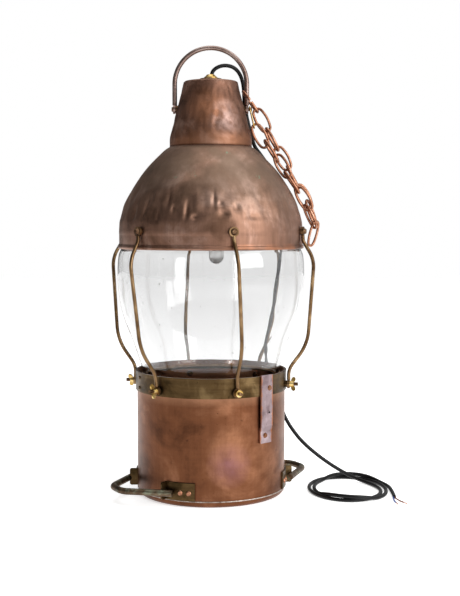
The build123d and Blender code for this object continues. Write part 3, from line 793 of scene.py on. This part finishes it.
def cone_push(bearing, z):
    """Shallow dents away from the cone's two ends and its two pivots."""
    free = fade(z - CONE_FOOT_Z, 16.0) * fade(CONE_TOP_Z - z, 6.0)
    pivot = math.exp(-(((abs(bearing) - PIVOT_BEARING) / 16.0) ** 2) - ((z - PIVOT_Z) / 12.0) ** 2)
    moved = 0.7 * wander(bearing, z, 7.0, 12.0, 5.0) - 0.35 - hollow(CONE_DENTS, bearing, z, CONE_DENT_RADIUS)
    return moved * free * (1.0 - pivot)


cone = turned("cone", cone_profile, cone_push, columns=432)
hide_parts("chimney_cone", "chimney_collar")
cone.data.materials.append(materials["cone_copper"])

GLASS_WALL = 4.0
glass_outer = through(
    [
        (97.0, 171.2),
        (98.4, 179.0),
        (104.3, 196.0),
        (110.8, 215.0),
        (119.5, 238.0),
        (126.8, 262.0),
        (131.0, 290.0),
        (131.8, 318.0),
        (130.4, 337.0),
        (127.4, 346.0),
        (126.9, 351.4),
    ],
    6,
)
glass_profile = glass_outer + [(radius - GLASS_WALL, z) for radius, z in glass_outer[::-1]]
globe = turned("globe", glass_profile, lambda bearing, z: 0.1 * wander(bearing, z, 2.0, 60.0, 12.0))
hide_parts("glass_globe")
globe.data.materials.append(materials["clear_glass"])

SEAM_FOOT_Z = 8.2
SEAM_TOP_Z = 9.7
seam_profile = [
    (105.0, SEAM_FOOT_Z),
    (105.45, 8.1),
    (105.75, 8.5),
    (105.78, 9.0),
    (105.6, 9.5),
    (105.0, SEAM_TOP_Z),
]


def seam_push(bearing, z):
    """Runs and lumps of the solder line; its inner corners stay on the drum."""
    if z in (SEAM_FOOT_Z, SEAM_TOP_Z):
        return 0.0
    return -0.25 + 0.28 * wander(bearing, z, 30.0, 9.0, 40.0)


seam = turned("solder_line", seam_profile, seam_push)
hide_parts("solder_seam")
seam.data.materials.append(materials["solder"])

# ---------------------------------------------------------------- floor and light
FLOOR_HALF = 6.0
floor_mesh = bpy.data.meshes.new("floor")
corners = [(FLOOR_HALF * x, FLOOR_HALF * y, 0) for x, y in ((-1, -1), (1, -1), (1, 1), (-1, 1))]
floor_mesh.from_pydata(corners, [], [(0, 1, 2, 3)])
floor = bpy.data.objects.new("floor", floor_mesh)
bpy.context.scene.collection.objects.link(floor)
floor_shader = Shader("floor")
floor_shader.set("Base Color", tone(250, 250, 250))
floor_shader.set("Roughness", 0.8)
floor_shader.set("Specular IOR Level", 0.1)
floor_shader.set("Emission Color", WHITE)
floor_shader.set("Emission Strength", 0.62)
floor_mesh.materials.append(floor_shader.material)

world = bpy.data.worlds.new("studio")
bpy.context.scene.world = world
world.use_nodes = True
sky = world.node_tree
sky.nodes.clear()


def sky_node(kind, **settings):
    """A node of the world's tree with some of its settings."""
    node = sky.nodes.new(kind)
    for name, value in settings.items():
        setattr(node, name, value)
    return node


direction = sky_node("ShaderNodeTexCoord").outputs["Generated"]
parts = sky_node("ShaderNodeSeparateXYZ")
sky.links.new(direction, parts.inputs["Vector"])
sideways = sky_node("ShaderNodeValToRGB")
half_turn = sky_node("ShaderNodeMath", operation="MULTIPLY_ADD")
half_turn.inputs[1].default_value = 0.5
half_turn.inputs[2].default_value = 0.5
sky.links.new(parts.outputs["X"], half_turn.inputs[0])
sky.links.new(half_turn.outputs["Value"], sideways.inputs["Fac"])
# The studio's light level from the left (0) to the right (1).
SIDE_LIGHT = [(0.0, 0.12), (0.35, 0.16), (0.6, 0.4), (0.85, 0.9), (1.0, 0.75)]
while len(sideways.color_ramp.elements) < len(SIDE_LIGHT):
    sideways.color_ramp.elements.new(0.5)
for element, (position, level) in zip(sideways.color_ramp.elements, SIDE_LIGHT):
    element.position = position
    element.color = (level, level, level, 1.0)
rays = sky_node("ShaderNodeLightPath")
seen = sky_node("ShaderNodeMath", operation="MAXIMUM")
sky.links.new(rays.outputs["Is Camera Ray"], seen.inputs[0])
sky.links.new(rays.outputs["Is Transmission Ray"], seen.inputs[1])
backdrop = sky_node("ShaderNodeMix", data_type="RGBA")
sky.links.new(seen.outputs["Value"], backdrop.inputs[0])
sky.links.new(sideways.outputs["Color"], backdrop.inputs[6])
backdrop.inputs[7].default_value = WHITE
background = sky_node("ShaderNodeBackground")
sky.links.new(backdrop.outputs[2], background.inputs["Color"])
world_output = sky_node("ShaderNodeOutputWorld")
sky.links.new(background.outputs["Background"], world_output.inputs["Surface"])

LIGHTS = [
    # name, place, aimed at, width, height, watts
    ("key", (1.9, -1.7, 1.3), (0, 0, 0.3), 1.8, 1.8, 48.0),
    ("top", (0.2, 0.2, 2.6), (0, 0, 0), 2.4, 2.4, 34.0),
    ("window", (-0.95, -1.35, 0.45), (0, 0, 0.3), 0.5, 1.3, 9.0),
]
WINDOW_PEAK = 1.9   # the square root of how much brighter the window's middle is than an even light


def soften(lamp):
    """Fades an area light out towards its edges."""
    lamp.use_nodes = True
    tree = lamp.node_tree
    across = tree.nodes.new("ShaderNodeSeparateXYZ")
    tree.links.new(tree.nodes.new("ShaderNodeNewGeometry").outputs["Parametric"], across.inputs["Vector"])
    product = tree.nodes.new("ShaderNodeMath")
    product.operation = "MULTIPLY"
    for name, socket in (("X", product.inputs[0]), ("Y", product.inputs[1])):
        hill = tree.nodes.new("ShaderNodeMath")
        hill.operation = "PINGPONG"
        hill.inputs[1].default_value = 0.5
        tree.links.new(across.outputs[name], hill.inputs[0])
        smooth = tree.nodes.new("ShaderNodeMapRange")
        smooth.interpolation_type = "SMOOTHSTEP"
        smooth.inputs["From Max"].default_value = 0.5
        smooth.inputs["To Max"].default_value = WINDOW_PEAK
        tree.links.new(hill.outputs["Value"], smooth.inputs["Value"])
        tree.links.new(smooth.outputs["Result"], socket)
    tree.links.new(product.outputs["Value"], tree.nodes["Emission"].inputs["Strength"])


glass_only = bpy.data.collections.new("glass_only")
glass_only.objects.link(globe)
for name, place, target, width, height, watts in LIGHTS:
    lamp = bpy.data.lights.new(name, "AREA")
    lamp.shape = "RECTANGLE"
    lamp.size = width
    lamp.size_y = height
    lamp.energy = watts
    holder = bpy.data.objects.new(name, lamp)
    holder.location = place
    holder.rotation_euler = (Vector(target) - Vector(place)).to_track_quat("-Z", "Y").to_euler()
    bpy.context.scene.collection.objects.link(holder)
    if name == "window":
        holder.light_linking.receiver_collection = glass_only
        soften(lamp)

bpy.context.view_layer.update()
